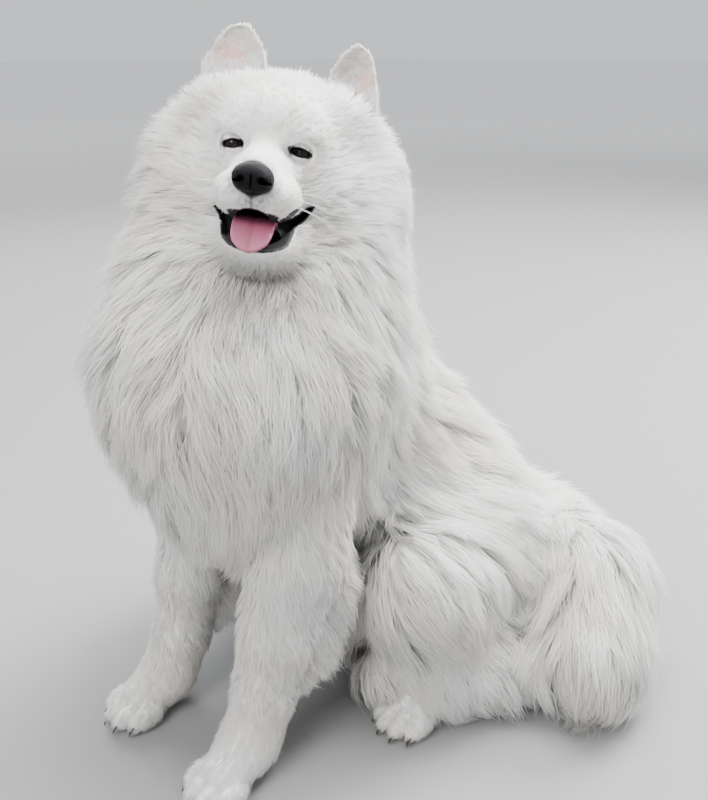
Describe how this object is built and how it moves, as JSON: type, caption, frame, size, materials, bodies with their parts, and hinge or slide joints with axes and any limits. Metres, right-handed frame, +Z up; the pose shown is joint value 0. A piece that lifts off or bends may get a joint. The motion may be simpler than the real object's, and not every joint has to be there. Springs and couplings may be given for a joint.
{
  "type": "seated spitz dog figure",
  "caption": "Life-size figure of a seated long-coated spitz dog, head turned and mouth open, with its tail curled round its side.",
  "frame": {"origin": "middle of the bounding box on the ground", "axes": "+Z up, the body faces -Y, +X towards the dog's own left side, where the tail lies"},
  "size_m": [0.6146, 0.682, 0.7865],
  "materials": {
    "long_coat": "long white outer coat over a soft undercoat",
    "short_coat": "short white fur of the face and feet",
    "eye": "wet dark brown eyeball",
    "nose": "damp pebbled black nose leather",
    "tongue": "wet pink tongue"
  },
  "bodies": {
    "root": {"eye_left": "eye", "eye_right": "eye", "nose": "nose", "tongue": "tongue", "head": "short_coat", "ear_left": "short_coat", "ear_right": "short_coat", "neck": "long_coat", "chest": "long_coat", "belly": "long_coat", "back": "long_coat", "rump": "long_coat", "thigh_left": "long_coat", "foreleg_left": "long_coat", "thigh_right": "long_coat", "foreleg_right": "long_coat", "forepaw_left": "short_coat", "hind_paw_left": "short_coat", "forepaw_right": "short_coat", "hind_paw_right": "short_coat", "tail_root": "long_coat", "tail_middle": "long_coat", "tail_tip": "long_coat"}
  },
  "joints": []
}
